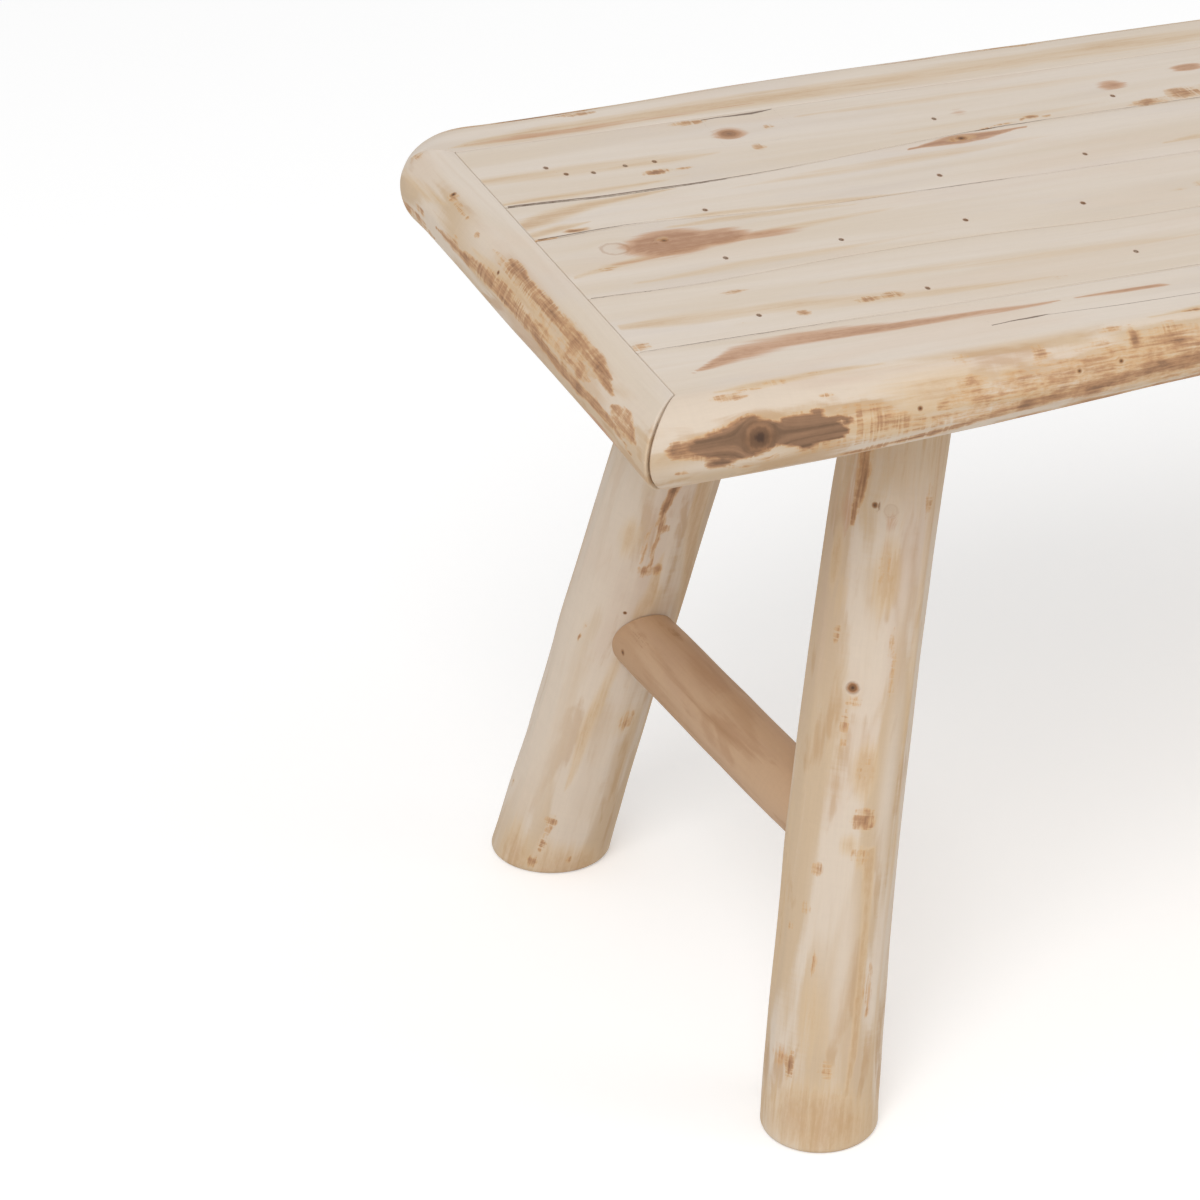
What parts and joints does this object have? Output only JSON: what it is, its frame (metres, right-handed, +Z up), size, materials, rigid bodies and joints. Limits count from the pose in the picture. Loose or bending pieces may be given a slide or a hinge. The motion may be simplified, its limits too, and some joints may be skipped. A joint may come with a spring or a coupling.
{
  "type": "rustic log bench",
  "caption": "Rustic backless log bench: split-log slats set in a frame of half-round log rails, on splayed peeled-log legs that are tied in pairs by round stretchers.",
  "frame": {"origin": "on the floor, under the middle of the seat's outline", "axes": "+X along the bench towards its right end, +Y from the front to the back, +Z up"},
  "size_m": [1.209, 0.4029, 0.45],
  "materials": {
    "peeled_log": "smooth, bare, peeled and planed softwood",
    "brown_log": "bare peeled branch, with the brown inner bark left on",
    "sawn_wood": "rough sawn",
    "steel": "dull"
  },
  "bodies": {
    "root": {"front_rail": "peeled_log", "back_rail": "peeled_log", "left_end_rail": "peeled_log", "right_end_rail": "peeled_log", "corner_dowels": "sawn_wood", "slat_1": "peeled_log", "slat_2": "peeled_log", "slat_3": "peeled_log", "slat_4": "peeled_log", "left_leg_slab": "sawn_wood", "right_leg_slab": "sawn_wood", "left_batten": "sawn_wood", "right_batten": "sawn_wood", "left_front_leg": "peeled_log", "left_back_leg": "peeled_log", "right_front_leg": "peeled_log", "right_back_leg": "peeled_log", "left_stretcher": "brown_log", "right_stretcher": "brown_log", "leg_wedges": "sawn_wood", "slat_nails": "steel", "rail_screws": "steel"}
  },
  "joints": []
}
